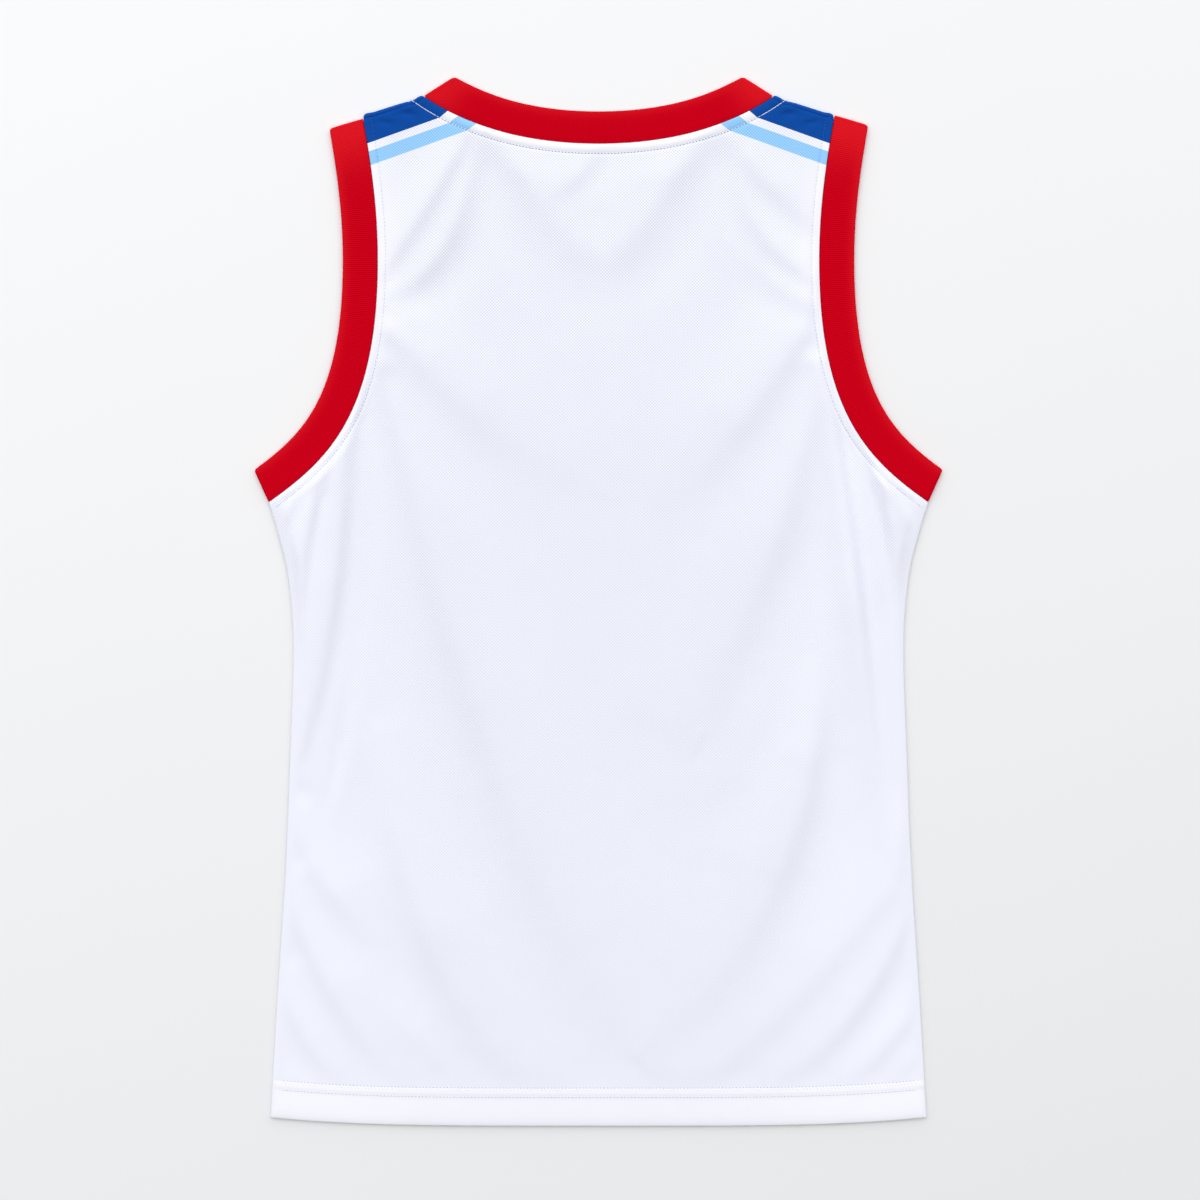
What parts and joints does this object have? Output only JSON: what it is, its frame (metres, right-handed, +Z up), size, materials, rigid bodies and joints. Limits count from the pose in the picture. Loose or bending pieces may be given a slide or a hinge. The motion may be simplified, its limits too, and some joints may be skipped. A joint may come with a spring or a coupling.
{
  "type": "basketball jersey",
  "caption": "Sleeveless knit basketball jersey laid flat on its front, with a ribbed neck, ribbed armholes, striped shoulders and a turned-up hem.",
  "frame": {"origin": "on the surface that the jersey lies on, under the middle of its box", "axes": "+Y from the hem to the collar, +Z up out of the back panel, +X to the picture's right"},
  "size_m": [0.5166, 0.7876, 0.0065],
  "materials": {
    "body_knit": "matt micro-mesh knit",
    "rib": "matt rib knit"
  },
  "bodies": {
    "root": {"front_panel": "body_knit", "back_panel": "body_knit", "neck_rib": "rib", "armhole_rib_left": "rib", "armhole_rib_right": "rib"}
  },
  "joints": []
}
